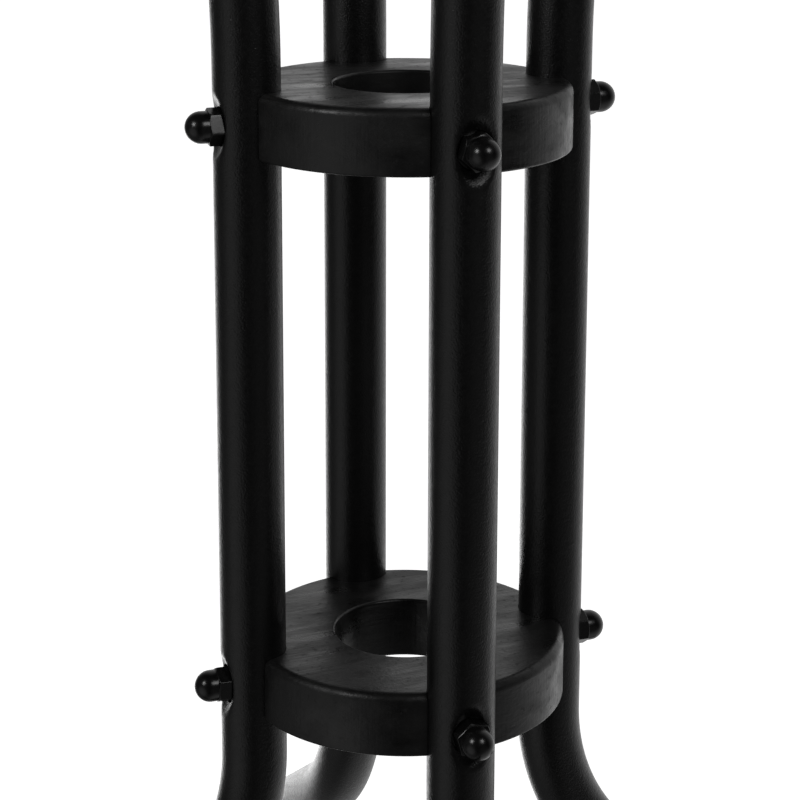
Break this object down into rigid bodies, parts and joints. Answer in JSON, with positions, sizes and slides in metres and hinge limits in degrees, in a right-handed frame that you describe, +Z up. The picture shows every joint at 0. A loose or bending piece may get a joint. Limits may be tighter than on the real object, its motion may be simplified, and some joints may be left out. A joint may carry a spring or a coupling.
{
  "type": "umbrella stand",
  "caption": "Hourglass umbrella stand: flared steel tubes bolted round painted wooden rings, whose holes hold umbrellas upright.",
  "frame": {"origin": "on the floor, on the stand's centre axis", "axes": "+Z up, -Y towards the front leg, +X towards the right leg"},
  "size_m": [0.3822, 0.3822, 0.6453],
  "materials": {
    "tube_powder_coat": "satin",
    "ring_painted_wood": "satin paint over fine grain",
    "fastener_black_steel": "semi-gloss",
    "plug_plastic": "fine matt",
    "foot_rubber": "matt"
  },
  "bodies": {
    "root": {"front_leg": "tube_powder_coat", "right_leg": "tube_powder_coat", "back_leg": "tube_powder_coat", "left_leg": "tube_powder_coat", "front_leg_top_plug": "plug_plastic", "right_leg_top_plug": "plug_plastic", "back_leg_top_plug": "plug_plastic", "left_leg_top_plug": "plug_plastic", "front_rubber_foot": "foot_rubber", "right_rubber_foot": "foot_rubber", "back_rubber_foot": "foot_rubber", "left_rubber_foot": "foot_rubber", "lower_ring": "ring_painted_wood", "upper_ring": "ring_painted_wood", "top_ring": "ring_painted_wood", "lower_ring_hanger_bolts": "fastener_black_steel", "upper_ring_hanger_bolts": "fastener_black_steel", "top_ring_hanger_bolts": "fastener_black_steel", "lower_ring_washers": "fastener_black_steel", "upper_ring_washers": "fastener_black_steel", "top_ring_washers": "fastener_black_steel", "lower_ring_cap_nuts": "fastener_black_steel", "upper_ring_cap_nuts": "fastener_black_steel", "top_ring_cap_nuts": "fastener_black_steel"}
  },
  "joints": []
}
